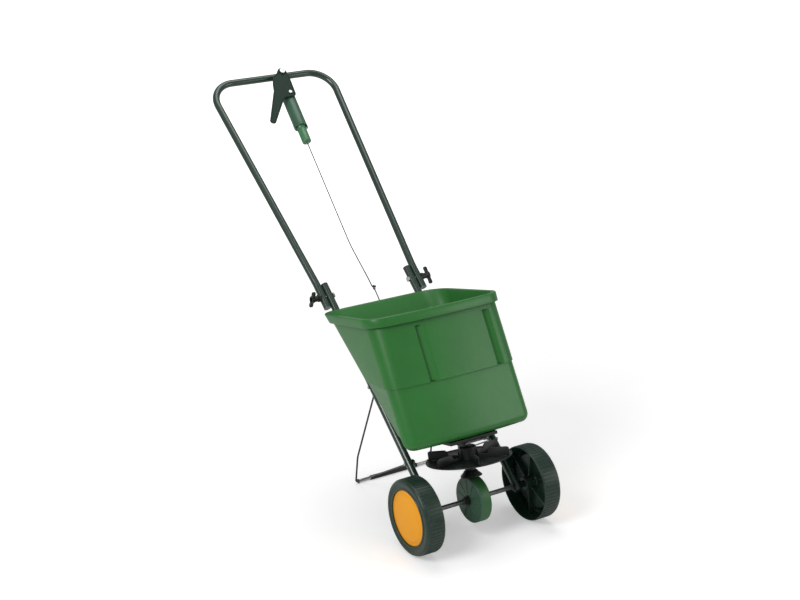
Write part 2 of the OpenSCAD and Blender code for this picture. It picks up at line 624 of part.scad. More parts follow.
module wing_knob(turn) translate([0, 0, fold_s]) difference() {
    union() {
        along_x(knob_in, knob_wing_x + 1, 8);
        translate([knob_wing_x, 0, 0]) rotate([turn, 0, 0]) rotate([0, 90, 0])
            linear_extrude(9) { slot_2d(52, 9); circle(r = 9); }
    }
    along_x(knob_in - 1, knob_wing_x + 2 + gap, bolt_r + run);
}
module wing_knob_right() color([0.08, 0.1, 0.09]) on_leg() wing_knob(8);
module wing_knob_left() color([0.08, 0.1, 0.09]) on_leg() mirror([1, 0, 0]) wing_knob(75);

// ---- hand lever and control rod -----------------------------------------------------------
lever_back = -barrel_d / 2 - gap - 0.2;
lever_t = 5;
lever_front = lever_back - lever_t;
link_at = [30, handle_len - 76];       // pin between the lever and the rod, [x, s]
rod_bend = [-1, handle_len - 600];
hook_x = 8;
hook_in = 3.5;
rod_tilt = atan2(link_at[0] - rod_bend[0], link_at[1] - rod_bend[1]);
link_pin_r = 2.5;
lever_boss_r = 13;
module pivot_saddle() color([0.15, 0.26, 0.2]) on_leg() difference() {
    translate([pivot_x, 0, handle_len]) along_y(lever_back + gap, 0, lever_boss_r);
    translate([0, 0, handle_len]) along_x(-handle_hw, handle_hw, tube_r);
    translate([pivot_x, 0, handle_len]) along_y(-3 * tube_d, tube_d, bolt_r);
}
module pivot_bolt() color("silver") on_leg() translate([pivot_x, 0, handle_len]) {
    along_y(lever_front - gap - head_h, lever_front - gap, 8);
    along_y(lever_front - gap - 1, tube_r + nut_h, bolt_r);
    translate([0, tube_r, 0]) rotate([-90, 0, 0]) nut(nut_r, nut_h, bolt_r);
}
// Outline of the lever, in the plane of the handle and measured from its pivot.
lever_tip = [-97, -166];
module lever_outline(inset) {
    circle(r = lever_boss_r - inset);
    polygon([[-lever_boss_r + inset, 0], [-lever_boss_r - 22 + inset, -14], [-50 + inset, -58],
        lever_tip + [-9 + inset, 3], lever_tip + [9 - inset, -3], [-40, -107 + inset],
        [-26, -92 + inset], [3, -92 + inset], [9 - inset, -84], [15 - inset, -20], [lever_boss_r - inset, 0]]);
    translate(lever_tip) circle(r = 9.5 - inset);
}
module hand_lever() color([0.14, 0.24, 0.19]) on_leg()
    translate([pivot_x, lever_back, handle_len]) rotate([90, 0, 0]) difference() {
        linear_extrude(lever_t) lever_outline(0);
        translate([0, 0, -1]) linear_extrude(lever_t - 1.5) difference() {
            lever_outline(2.5);
            circle(r = lever_boss_r);
            translate([link_at[0] - pivot_x, link_at[1] - handle_len]) circle(r = 8);
        }
        translate([0, 0, -1]) cylinder(h = lever_t + 2, r = bolt_r + run);
        translate([link_at[0] - pivot_x, link_at[1] - handle_len, -1]) cylinder(h = lever_t + 2, r = link_pin_r);
    }
module barrel_pin() color("silver") on_leg() translate([link_at[0], 0, link_at[1]]) {
    along_y(lever_front - 1.5, lever_front, 5);
    along_y(lever_front - 1, 6, link_pin_r);
}
// Frame of the control rod's upper length: origin at its pin, Z up along it.
module on_rod() on_leg() translate([link_at[0], 0, link_at[1]]) rotate([0, rod_tilt, 0]) children();
barrel_top = 9;
barrel_cap = 12;                       // depth below the pin at which the rod meets the barrel
barrel_foot = -112;
dial_foot = -166;
module rate_barrel() color([0.24, 0.38, 0.31]) on_rod() difference() {
    union() {
        translate([0, 0, barrel_foot]) cylinder(h = barrel_top - barrel_foot, r = barrel_d / 2);
        for (e = [-1, 1]) translate([e * (barrel_d / 2 - 1.5) - 2.5, -3, barrel_foot - 7]) cube([5, 6, 16]);
    }
    translate([0, 0, barrel_foot - 10]) cylinder(h = 10 - barrel_foot - barrel_cap, r = barrel_d / 2 - 3);
    rotate([0, -rod_tilt, 0]) along_y(-barrel_d, 6 + gap, link_pin_r + run);
}
module rate_dial() color([0.27, 0.49, 0.31]) on_rod() difference() {
    translate([0, 0, dial_foot]) cylinder(h = barrel_foot + 30 - dial_foot, r = dial_d / 2);
    translate([0, 0, dial_foot - 1]) cylinder(h = 200, r = rod_r + run);
}
module rod_collar() color("silver") on_rod() difference() {
    translate([0, 0, dial_foot - gap - 3]) cylinder(h = 3, r = rod_r + 2);
    translate([0, 0, dial_foot - 10]) cylinder(h = 20, r = rod_r);
}
module control_rod() color("gray") on_leg() {
    top = [link_at[0] - barrel_cap * sin(rod_tilt), 0, link_at[1] - barrel_cap * cos(rod_tilt)];
    wire([top, [rod_bend[0], 0, rod_bend[1]], [hook_in, 0, fold_s + 28], [hook_in, 0, fold_s],
        [hook_x + 6, 0, fold_s]], [60, 30, 2 * rod_r], rod_r);
    translate([0, 0, fold_s]) along_x(hook_x + 4.5, hook_x + 6, rod_r + 1);
}
// Lower rod: an eye on the fold axis above, a bent end in the crank below.
eye_l = 14;
eye_w = 10.4;
eye_rim = 2.5;
eye_t = 2.5;
eye_down = 2;                          // the hook starts this far up its slot
eye_back = 0.9;                        // and this far behind its middle
link_x = hook_x;
module link_rod() color("gray") on_leg() {
    end = [link_x, rod_foot[0], rod_foot[1]];
    down = unit(end - [link_x, 0, fold_s]);
    eye = [link_x, 0, fold_s] + down * eye_down + cross([1, 0, 0], down) * eye_back;
    wire([eye + down * (eye_l - eye_rim) / 2, end, [crank_x[0] - 2, end[1], end[2]]], [2 * rod_r], rod_r);
    translate(eye - [eye_t / 2, 0, 0]) rotate([atan2(down[1], -down[2]), 0, 0])
        rotate([0, 90, 0]) linear_extrude(eye_t) difference() {
            slot_2d(eye_l, eye_w);
            slot_2d(eye_l - 2 * eye_rim, eye_w - 2 * eye_rim);
        }
}

// ---- stand --------------------------------------------------------------------------------
stand_bolt_r = 2.5;
foot_z = sleeve_d / 2;
bar_r = strut_d / 2 + 2;
eye_out = 7;
stand_x = leg_x - tube_r - 2;          // the stand's wires bolt to the inner sides of the legs
module foot_bar() color("silver") translate([0, axle_y + foot_y, foot_z]) difference() {
    along_x(-foot_hw, foot_hw, bar_r);
    along_x(-foot_hw - 1, foot_hw + 1, strut_d / 2);
}
module foot_sleeve() color([0.05, 0.06, 0.06]) translate([0, axle_y + foot_y, foot_z])
    ring_x(-foot_hw * 0.64, foot_hw * 0.64, sleeve_d / 2, bar_r);
module leg_eye(s) on_leg() translate([0, 0, s]) difference() {
    along_x(stand_x - 2, stand_x + 2, eye_out);
    along_x(0, 2 * leg_x, stand_bolt_r);
}
module stand_strut() {
    knee = [foot_hw + 3.5, axle_y + foot_y, foot_z];
    top = leg_point([stand_x, 0, strut_s]);
    bow = [(knee[0] + top[0]) / 2 + 1, axle_y + foot_y - 12, foot_z + 79];
    away = (bow - top) / norm(bow - top);
    wire([[foot_hw - 14, knee[1], foot_z], knee, bow, top + away * (eye_out - 1)],
        [strut_d, 60], strut_d / 2);
    leg_eye(strut_s);
}
module stand_strut_right() color([0.1, 0.12, 0.12]) stand_strut();
module stand_strut_left() color([0.1, 0.12, 0.12]) mirror([1, 0, 0]) stand_strut();
module stand_brace() {
    ring_at = [foot_hw - 3, axle_y + foot_y, foot_z];
    top = leg_point([stand_x, 0, brace_s]);
    way = (top - ring_at) / norm(top - ring_at);
    segment(ring_at + way * (bar_r + 0.6), top - way * (eye_out - 1), brace_d / 2);
    translate([0, ring_at[1], foot_z]) ring_x(ring_at[0] - 2, ring_at[0] + 2, bar_r + 1.6, bar_r);
    leg_eye(brace_s);
}
module stand_brace_right() color("gray") stand_brace();
module stand_brace_left() color("gray") mirror([1, 0, 0]) stand_brace();
module stand_bolts() color("silver") on_leg() both_sides() for (s = [strut_s, brace_s])
    translate([0, 0, s]) {
        along_x(stand_x - 2 - 2.5, stand_x - 2, 4.5);
        along_x(stand_x - 3, leg_x + tube_r + 3.5, stand_bolt_r);
        translate([leg_x + tube_r, 0, 0]) rotate([0, 90, 0]) nut(4.5, 3, stand_bolt_r);
    }

hopper();
base_plate();
lower_leg_left();
lower_leg_right();
leg_plug_left();
leg_plug_right();
axle_bush_left();
axle_bush_right();
gearbox_left();
gearbox_right();
gearbox_bush_left();
gearbox_bush_right();
gearbox_hood();
hopper_bolts();
fold_bolt_left();
fold_bolt_right();
stand_strut_left();
stand_strut_right();
stand_brace_left();
stand_brace_right();
stand_bolts();
foot_bar();
foot_sleeve();
crank_pin();
axle();
crown_gear();
wheel_right();
wheel_cap_right();
drive_pin();
gear_pin();
axle_spacers();
axle_clips();
wheel_left();
wheel_cap_left();
drive_shaft();
pinion();
impeller();
impeller_pin();
agitator();
upper_handle();
saddle_washers();
wing_knob_left();
wing_knob_right();
pivot_saddle();
pivot_bolt();
hand_lever();
barrel_pin();
rate_barrel();
control_rod();
rate_dial();
rod_collar();
link_rod();
shutter_crank();
shutter_plate();
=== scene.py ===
"""Garden spreader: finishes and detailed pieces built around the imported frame."""
import json
import math

import bmesh
import bpy
from bpy.props import FloatProperty, FloatVectorProperty, IntProperty, PointerProperty
from mathutils import Matrix, Vector


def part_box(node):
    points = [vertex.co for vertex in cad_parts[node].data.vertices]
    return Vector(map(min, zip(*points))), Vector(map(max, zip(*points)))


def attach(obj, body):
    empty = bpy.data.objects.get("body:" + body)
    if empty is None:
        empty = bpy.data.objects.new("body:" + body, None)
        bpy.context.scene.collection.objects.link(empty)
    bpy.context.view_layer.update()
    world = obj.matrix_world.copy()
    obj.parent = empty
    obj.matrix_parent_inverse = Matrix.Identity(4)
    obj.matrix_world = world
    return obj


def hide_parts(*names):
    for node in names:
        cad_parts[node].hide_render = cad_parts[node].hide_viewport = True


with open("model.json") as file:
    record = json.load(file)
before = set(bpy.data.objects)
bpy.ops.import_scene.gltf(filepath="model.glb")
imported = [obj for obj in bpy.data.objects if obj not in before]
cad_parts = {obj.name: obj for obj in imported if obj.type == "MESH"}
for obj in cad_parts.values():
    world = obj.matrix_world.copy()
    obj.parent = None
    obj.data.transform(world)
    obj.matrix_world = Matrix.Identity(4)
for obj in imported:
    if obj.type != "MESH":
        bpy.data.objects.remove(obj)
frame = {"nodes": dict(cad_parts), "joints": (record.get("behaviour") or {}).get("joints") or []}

bl_info = {
    "name": "Garden spreader",
    "version": (1, 0, 0),
    "blender": (4, 5, 0),
    "location": "View3D > Sidebar > Spreader",
    "description": "Builds the finishes and detailed pieces of a walk-behind garden spreader",
    "category": "Object",
}

MM = 0.001
TAU = 2 * math.pi
X_AXIS = Vector((1, 0, 0))
JOINTS = {joint["name"]: joint for joint in frame["joints"]}


def joint_at(name):
    return Vector(JOINTS[name]["pos_m"])


def frame_on(origin, up):
    """A frame with X across the machine and Z along up."""
    up = up.normalized()
    return Matrix.Translation(origin) @ Matrix((X_AXIS, up.cross(X_AXIS), up)).transposed().to_4x4()


AXLE = joint_at("axle_spin")
FOLD = joint_at("handle_fold")
LEG = frame_on(AXLE, FOLD - AXLE)
MACHINE = frame_on(AXLE, Vector(JOINTS["impeller_spin"]["axis"]))
ROLL = Matrix.Translation(AXLE) @ Matrix.Rotation(math.radians(90), 4, "Y")     # Z along +X
WHEEL_R = AXLE.z / MM
FOLD_S = (LEG.inverted() @ FOLD).z / MM
PIVOT = LEG.inverted() @ joint_at("lever_swing") / MM
LINK = LEG.inverted() @ joint_at("barrel_swing") / MM
HANDLE_LEN = 1398                     # from the axle up the legs to the handle's cross bar
EYE_AT = (117, 0, 370)                # where the struts bolt to the legs
LEAN_IN_MACHINE = math.atan2((MACHINE.inverted() @ FOLD).y, (MACHINE.inverted() @ FOLD).z)
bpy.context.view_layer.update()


def in_frame(base, points):
    """Points in millimetres of a frame, as points of the row in metres."""
    return [base @ (Vector(p) * MM) for p in points]


def at(base, place=(0, 0, 0)):
    """Takes millimetres around a place of a frame to row metres."""
    return base @ Matrix.Scale(MM, 4) @ Matrix.Translation(place)


QUARTER_X = Matrix.Rotation(math.pi / 2, 4, "X")
QUARTER_Y = Matrix.Rotation(math.pi / 2, 4, "Y")
MIRROR = Matrix.Scale(-1, 4, X_AXIS)


def mirrored(bm, sign):
    """Takes a right-hand bmesh to the left where sign is negative."""
    if sign < 0:
        bm.transform(MIRROR)
    return bm


def spoke_turn(k, count, first=0.0):
    """The k-th of count equal turns about Z."""
    return Matrix.Rotation(TAU * k / count + first, 4, "Z")


# ---- shader maths -------------------------------------------------------------------------
class Value:
    """A number's socket; Python operators on it add Math nodes."""

    def __init__(self, finish, socket):
        self.finish, self.socket = finish, socket

    def _maths(self, operation, *values):
        return self.finish.node("ShaderNodeMath", {"operation": operation}, dict(enumerate(values)))

    def __add__(self, other):
        return self._maths("ADD", self, other)

    def __mul__(self, other):
        return self._maths("MULTIPLY", self, other)

    __radd__ = __add__
    __rmul__ = __mul__

    def ease(self, low, high):
        """Eases from 0 at low to 1 at high."""
        return self.finish.node("ShaderNodeMapRange", {"interpolation_type": "SMOOTHSTEP"},
                                {"Value": self, "From Min": low, "From Max": high})


class Finish:
    """A node material with one Principled shader."""

    def __init__(self, name):
        self.material = bpy.data.materials.new(name)
        self.material.use_nodes = True
        self.tree = self.material.node_tree
        self.shader = next(n for n in self.tree.nodes if n.type == "BSDF_PRINCIPLED")
        self.place = self.node("ShaderNodeTexCoord", {}, {}, "Object")

    def node(self, kind, settings, inputs, output=0):
        node = self.tree.nodes.new(kind)
        for key, value in settings.items():
            setattr(node, key, value)
        for key, value in inputs.items():
            self.feed(node.inputs[key], value)
        return Value(self, node.outputs[output])

    def feed(self, socket, value):
        if isinstance(value, Value):
            self.tree.links.new(value.socket, socket)
        else:
            socket.default_value = value

    def noise(self, scale, detail=3.0, roughness=0.55, stretch=None):
        place = self.place
        if stretch:
            place = self.node("ShaderNodeMapping", {}, {"Vector": place, "Scale": stretch})
        return self.node("ShaderNodeTexNoise", {},
                         {"Vector": place, "Scale": scale, "Detail": detail, "Roughness": roughness})

    def mix(self, mask, first, second):
        mix = self.tree.nodes.new("ShaderNodeMix")
        mix.data_type = "RGBA"
        self.feed(mix.inputs["Factor"], mask)
        for key, value in (("A", first), ("B", second)):
            socket = next(s for s in mix.inputs if s.name == key and s.type == "RGBA")
            self.feed(socket, value)
        return Value(self, next(s for s in mix.outputs if s.type == "RGBA"))

    def set(self, **sockets):
        for key, value in sockets.items():
            self.feed(self.shader.inputs[key.replace("_", " ")], value)
        return self

    def bump(self, height, strength, distance):
        bump = self.node("ShaderNodeBump", {}, {"Height": height, "Strength": strength, "Distance": distance})
        return self.set(Normal=bump)


def rgba(colour, factor=1.0):
    return tuple(min(c * factor, 1.0) for c in colour[:3]) + (1.0,)


def lighter(colour, share):
    """The colour moved towards white by share."""
    return tuple(c + (1 - c) * share for c in colour[:3]) + (1.0,)


def moulded(name, colour, rough, grain=0.12, mottle=0.10, scuff=0.05, coat=0.0, specular=0.5):
    """Moulded plastic: faint flow marks, a fine texture, light scuffs."""
    f = Finish(name)
    flow = f.noise(9.0, 4.0).ease(0.3, 0.7)
    scuffs = f.noise(160.0, 5.0, 0.7, (1.0, 1.0, 0.25)).ease(0.62, 0.74)
    base = f.mix(flow, rgba(colour, 1 - mottle), rgba(colour, 1 + mottle))
    f.set(Base_Color=f.mix(scuffs * scuff, base, lighter(colour, 0.35)))
    f.set(Roughness=f.noise(45.0) * 0.10 + scuffs * 0.08 + (rough - 0.05))
    f.shader.inputs["Specular IOR Level"].default_value = specular
    if coat:
        f.shader.inputs["Coat Weight"].default_value = coat
        f.shader.inputs["Coat Roughness"].default_value = 0.18
    return f.bump(f.noise(1100.0, 2.0) + 0.4 * f.noise(240.0, 2.0), grain, 0.0004).material


def powder_coat(name, colour, rough, coat):
    """Baked powder paint on steel: a soft orange peel under a thin gloss."""
    f = Finish(name)
    tone = f.noise(14.0, 3.0).ease(0.3, 0.7)
    f.set(Base_Color=f.mix(tone, rgba(colour, 0.9), rgba(colour, 1.12)))
    f.set(Roughness=f.noise(40.0) * 0.08 + (rough - 0.04))
    f.shader.inputs["Coat Weight"].default_value = coat
    f.shader.inputs["Coat Roughness"].default_value = 0.12
    return f.bump(f.noise(260.0, 2.0), 0.06, 0.0004).material


def steel(name, colour, rough):
    """Zinc-plated or drawn steel with fine lines along it."""
    f = Finish(name)
    lines = f.noise(900.0, 3.0, 0.6, (1.0, 1.0, 0.06))
    dull = f.noise(60.0, 4.0).ease(0.45, 0.7)
    f.set(Base_Color=f.mix(dull, rgba(colour), rgba(colour, 0.72)), Metallic=1.0)
    f.set(Roughness=lines * 0.16 + dull * 0.12 + (rough - 0.08))
    return f.bump(lines, 0.08, 0.0003).material


def wheel_plastic(name, colour):
    """The wheels' tough plastic, with faint specks of dust."""
    f = Finish(name)
    dust = f.noise(70.0, 5.0, 0.65).ease(0.48, 0.72)
    base = f.mix(f.noise(11.0).ease(0.3, 0.7), rgba(colour, 0.88), rgba(colour, 1.12))
    f.set(Base_Color=f.mix(dust * 0.08, base, lighter(colour, 0.2)))
    f.set(Roughness=dust * 0.10 + 0.34)
    return f.bump(f.noise(900.0, 2.0) + 0.5 * f.noise(180.0), 0.08, 0.0004).material


# ---- mesh helpers -------------------------------------------------------------------------
SHARP = math.radians(32)         # edges that turn more than this stay crisp
SAME_PLACE = 0.00001             # metres within which points are one


def piece(name, bm, body, slot, *replaced, base=None, merge=True):
    """Turns a bmesh (millimetres of a base frame, or row metres) into the piece that stands for a node."""
    if merge:
        bmesh.ops.remove_doubles(bm, verts=bm.verts, dist=SAME_PLACE / MM if base else SAME_PLACE)
    bmesh.ops.recalc_face_normals(bm, faces=bm.faces)
    if base:
        bm.transform(at(base))
    for face in bm.faces:
        face.smooth = True
    for edge in bm.edges:
        edge.smooth = edge.calc_face_angle(0.0) < SHARP
    mesh = bpy.data.meshes.new(name)
    bm.to_mesh(mesh)
    bm.free()
    obj = bpy.data.objects.new(name, mesh)
    bpy.context.scene.collection.objects.link(obj)
    mesh.materials.append(finishes()[slot])
    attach(obj, body)
    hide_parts(*replaced)
    return obj


def lathe(profile, steps=96, closed=True):
    """A bmesh of a (radius, height) outline spun about Z."""
    bm = bmesh.new()
    verts = [bm.verts.new((r, 0, z)) for r, z in profile]
    pairs = list(zip(verts, verts[1:] + verts[:1])) if closed else list(zip(verts, verts[1:]))
    edges = [bm.edges.new(pair) for pair in pairs]
    bmesh.ops.spin(bm, geom=verts + edges, axis=(0, 0, 1), cent=(0, 0, 0), angle=TAU, steps=steps,
                   use_merge=True)
    bmesh.ops.remove_doubles(bm, verts=bm.verts, dist=0.001)
    return bm


def add_prism(bm, outline, low, high, bevel=0.0, segments=2, matrix=None):
    """Extrudes an outline of the XY plane from low to high, with its edges rounded."""
    part = bmesh.new()
    face = part.faces.new([part.verts.new((x, y, low)) for x, y in outline])
    grown = bmesh.ops.extrude_face_region(part, geom=[face])
    top = [v for v in grown["geom"] if isinstance(v, bmesh.types.BMVert)]
    bmesh.ops.translate(part, verts=top, vec=(0, 0, high - low))
    bmesh.ops.recalc_face_normals(part, faces=part.faces)
    if bevel:
        rims = [e for e in part.edges if e.calc_face_angle(0.0) > math.radians(50)]
        bmesh.ops.bevel(part, geom=rims, offset=bevel, segments=segments, profile=0.5, affect="EDGES",
                        material=-1, clamp_overlap=True)
    if matrix is not None:
        part.transform(matrix)
    join(bm, part)


def join(bm, part):
    """Adds one bmesh to another."""
    mesh = bpy.data.meshes.new("part")
    part.to_mesh(mesh)
    part.free()
    bm.from_mesh(mesh)
    bpy.data.meshes.remove(mesh)


def arc(centre, radius, start, end, steps):
    """Points of an arc of the plane, angles in degrees."""
    turns = [math.radians(start + (end - start) * k / steps) for k in range(steps + 1)]
    return [(centre[0] + radius * math.cos(a), centre[1] + radius * math.sin(a)) for a in turns]


def bent_path(points, bends, step=6.0):
    """Points along straights with a round bend of the given radius at each corner."""
    out = [points[0]]
    for before, corner, after, radius in zip(points, points[1:], points[2:], bends):
        way, onward = (corner - before).normalized(), (after - corner).normalized()
        turn = way.angle(onward)
        cut = radius * math.tan(turn / 2)
        axis = way.cross(onward).normalized()
        spoke = way.cross(axis)
        centre = corner - way * cut - spoke * radius
        count = max(2, math.ceil(math.degrees(turn) / step))
        out += [centre + radius * (spoke * math.cos(turn * k / count) + way * math.sin(turn * k / count))
                for k in range(count + 1)]
    return out + [points[-1]]


def bent_rod(name, base, points, bends, radius, rings=8, step=6.0):
    """A bmesh of a bent round rod, in row metres."""
    places = in_frame(base, bent_path([Vector(p) for p in points], bends, step))
    curve = bpy.data.curves.new(name, "CURVE")
    curve.dimensions = "3D"
    curve.bevel_depth = radius * MM
    curve.bevel_resolution = rings
    curve.use_fill_caps = True
    spline = curve.splines.new("POLY")
    spline.points.add(len(places) - 1)
    for point, place in zip(spline.points, places):
        point.co = (*place, 1.0)
    holder = bpy.data.objects.new(name, curve)
    bm = bmesh.new()
    mesh = bpy.data.meshes.new_from_object(holder)
    bm.from_mesh(mesh)
    bpy.data.meshes.remove(mesh)
    bpy.data.objects.remove(holder)
    bpy.data.curves.remove(curve)
    return bm


def loft(bm, loops):
    """Bridges closed loops of the same count one after another; returns the first and last loops."""
    rows = []
    for loop in loops:
        verts = [bm.verts.new(p) for p in loop]
        rows.append((verts, [bm.edges.new(pair) for pair in zip(verts, verts[1:] + verts[:1])]))
    for (_, first), (_, second) in zip(rows, rows[1:]):
        bmesh.ops.bridge_loops(bm, edges=first + second)
    return rows[0][0], rows[-1][0]


# ---- what a user would change ---------------------------------------------------------------
class SpreaderSizes(bpy.types.PropertyGroup):
    lip_round: FloatProperty(name="Lip rounding", description="Rounding of the hopper's lip, mm", default=2.2)
    groove_depth: FloatProperty(name="Groove depth", description="Depth of the front grooves, mm", default=9.0)
    lugs: IntProperty(name="Tread ribs", description="Ribs around each wheel's tread", default=64)
    rib_count: IntProperty(name="Casing ribs", description="Radial ribs on the gearbox", default=10)
    floor_size: FloatProperty(name="Floor", description="Side of the floor, m", default=60.0, unit="LENGTH")


def colour(label, value):
    return FloatVectorProperty(name=label, description=label + " base colour", subtype="COLOR", size=3,
                               default=value, min=0.0, max=1.0)


class SpreaderColours(bpy.types.PropertyGroup):
    hopper: colour("Hopper", (0.024, 0.172, 0.028))
    tube: colour("Tube", (0.014, 0.040, 0.025))
    wheel: colour("Wheel", (0.010, 0.032, 0.019))
    cap: colour("Wheel cap", (1.0, 0.400, 0.006))
    black: colour("Black plastic", (0.0065, 0.011, 0.008))
    casing_left: colour("Casing, left half", (0.040, 0.105, 0.060))
    casing_right: colour("Casing, right half", (0.022, 0.115, 0.028))
    lever: colour("Lever", (0.010, 0.030, 0.019))
    barrel: colour("Barrel", (0.042, 0.118, 0.070))
    dial: colour("Dial", (0.055, 0.200, 0.085))


def sizes():
    return bpy.context.scene.spreader_sizes


FINISHES = {}


def finishes():
    """Every material by the record's slot name, made once."""
    if not FINISHES:
        c = bpy.context.scene.spreader_colours
        FINISHES.update({
            "hopper": moulded("green_hopper", c.hopper, 0.33, grain=0.07, mottle=0.06, scuff=0.03),
            "tube": powder_coat("green_tube", c.tube, 0.28, 0.6),
            "wheel": wheel_plastic("green_wheel", c.wheel),
            "cap": moulded("orange_cap", c.cap, 0.45, grain=0.08, mottle=0.04, scuff=0.02, specular=0.3),
            "black_plastic": moulded("black_plastic", c.black, 0.42, grain=0.16, scuff=0.10),
            "gearbox_left": moulded("casing_left", c.casing_left, 0.42, mottle=0.12),
            "gearbox_right": moulded("casing_right", c.casing_right, 0.40, mottle=0.12),
            "lever": moulded("lever_paint", c.lever, 0.50, grain=0.05, mottle=0.05, scuff=0.03, specular=0.22),
            "barrel": moulded("barrel_green", c.barrel, 0.36, mottle=0.08, coat=0.15),
            "dial": moulded("dial_green", c.dial, 0.32, mottle=0.08, coat=0.2),
            "steel": steel("plated_steel", (0.56, 0.57, 0.56), 0.30),
            "wire": powder_coat("black_wire", (0.012, 0.017, 0.015), 0.34, 0.3),
            "dark_steel": steel("dark_steel", (0.16, 0.17, 0.165), 0.36),
            "gear": moulded("acetal_gear", (0.70, 0.67, 0.58), 0.40, mottle=0.04),
        })
    return FINISHES


# ---- hopper -------------------------------------------------------------------------------
# Sizes in millimetres of the machine's frame: X across, Y back, Z up the tilted hopper.
LEG_X = 129
RIM_H, BELT_H, FLOOR_H, WALL = 498, 321, 166, 3
BELT_STEP, RIM_OUT, RIM_SKIRT = 3, 9.8, 22.8
GROOVES = (-70, 134)                    # centres of the two grooves down the front
GROOVE_TOP = 463
GROOVE_SHAPE = ((-12, 0), (-9, 1), (-5, 1), (12, 0))     # place across, share of the depth
BACK_Q = -10.3                          # the back wall lies along the legs, ahead of the tubes


def groove_share(x):
    """Share of the groove's depth at a place across: a steep left wall and a long right slope."""
    for centre in GROOVES:
        for (x0, share0), (x1, share1) in zip(GROOVE_SHAPE, GROOVE_SHAPE[1:]):
            if x0 <= x - centre <= x1:
                return share0 + (share1 - share0) * (x - centre - x0) / (x1 - x0)
    return 0.0


def hopper_loop(h, inset, groove=0.0):
    """Closed outline at a height: bowed front with its grooves, straight back, four round corners."""
    t = (h - FLOOR_H) / (RIM_H - FLOOR_H)
    slope = LEAN_IN_MACHINE
    front, back = -45 + 97 * t + inset, (BACK_Q + h * math.sin(slope)) / math.cos(slope) - inset
    rf, rb = 45 - 12 * (1 - t) - inset, 55 - 12 * (1 - t) - inset
    fx, bx = 190 - 2 * (1 - t) - inset - rf, 146 + 35 * t - inset - rb
    across = {2 * k / 40 - 1 for k in range(1, 40)}
    places = sorted([fx * u for u in across] + [c + side for c in GROOVES for side, _ in GROOVE_SHAPE])
    bow = [(x, front - 11 * (1 - (x / fx) ** 2) + groove * groove_share(x)) for x in places]
    loop = bow + arc((fx, front + rf), rf, -90, 0, 12) + arc((bx, back - rb), rb, 0, 90, 12)
    loop += arc((-bx, back - rb), rb, 90, 180, 12) + arc((-fx, front + rf), rf, 180, 270, 12)
    return [(x, y, h) for x, y in loop]


def hopper_shell(bm, deep, lip):
    """One closed shell: outside from the floor up over the lip, then down the inside."""
    edge = arc((24, 24), 24, 270, 180, 8)                  # floor edge: inset and height
    inner = arc((18, 18), 18, 270, 180, 8)
    outside = [(FLOOR_H + y, BELT_STEP + x, 0) for x, y in edge]
    outside += [(BELT_H - 1, BELT_STEP, 0), (BELT_H, BELT_STEP - 0.6, 0), (BELT_H + 1, 0, 0), (BELT_H + 1.6, 0, deep),
                (GROOVE_TOP - 3, 0, deep), (GROOVE_TOP, 0, 0), (RIM_H - 4, 0, 0), (RIM_H - 2.5, -1.2, 0)]
    out, foot = RIM_OUT, RIM_H - RIM_SKIRT
    outside += [(RIM_H - 2.5, 4 - out, 0), (RIM_H - 5, 2.2 - out, 0), (foot + 1, 3.0 - out, 0), (foot, 2.6 - out, 0),
                (foot, 1.2 - out, 0), (foot + 1, 0.6 - out, 0)]
    crest = arc((lip - out, RIM_H - lip), lip, 180, 90, 5)
    outside += [(y, x, 0) for x, y in crest]
    inside = [(y, x, 0) for x, y in arc((WALL - lip, RIM_H - lip), lip, 90, 0, 5)]
    inside += [(GROOVE_TOP, WALL, 0), (GROOVE_TOP - 3, WALL, deep), (BELT_H + 4, WALL, deep), (BELT_H + 3.4, WALL, 0),
               (BELT_H + 2, WALL + BELT_STEP, 0)]
    inside += [(FLOOR_H + WALL + y, WALL + BELT_STEP + x, 0) for x, y in reversed(inner)]
    first, last = loft(bm, [hopper_loop(*level) for level in outside + inside])
    for loop in (first, last):
        bm.faces.new(loop)


class SPREADER_OT_hopper(bpy.types.Operator):
    """Builds the hopper's shell with its belt, front grooves and rolled lip"""
    bl_idname = "spreader.hopper"
    bl_label = "Hopper"

    def execute(self, context):
        bm = bmesh.new()
        hopper_shell(bm, sizes().groove_depth, sizes().lip_round)
        shell = piece("hopper_shell", bm, "frame", "hopper", "hopper", base=MACHINE)
        for x in (-LEG_X, LEG_X):
            cutter = bmesh.new()
            corner = (BACK_Q + 0.4, BACK_Q + 34)
            box = bmesh.ops.create_cube(cutter, size=1)
            bmesh.ops.scale(cutter, verts=box["verts"], vec=(25, corner[1] - corner[0], 120))
            bmesh.ops.translate(cutter, verts=box["verts"], vec=(x, sum(corner) / 2, 612))
            cutter.transform(LEG @ Matrix.Scale(MM, 4))
            cut_from(shell, cutter)
        outlet = bmesh.new()
        box = bmesh.ops.create_cube(outlet, size=1)
        bmesh.ops.scale(outlet, verts=box["verts"], vec=(44, 11, 30))
        bmesh.ops.translate(outlet, verts=box["verts"], vec=(0, -33 + 5.5, FLOOR_H))
        outlet.transform(MACHINE @ Matrix.Scale(MM, 4))
        cut_from(shell, outlet)
        hole = bmesh.new()
        bmesh.ops.create_cone(hole, cap_ends=True, segments=32, radius1=6, radius2=6, depth=30,
                              matrix=Matrix.Translation((0, 0, FLOOR_H)))
        hole.transform(MACHINE @ Matrix.Scale(MM, 4))
        cut_from(shell, hole)
        return {"FINISHED"}


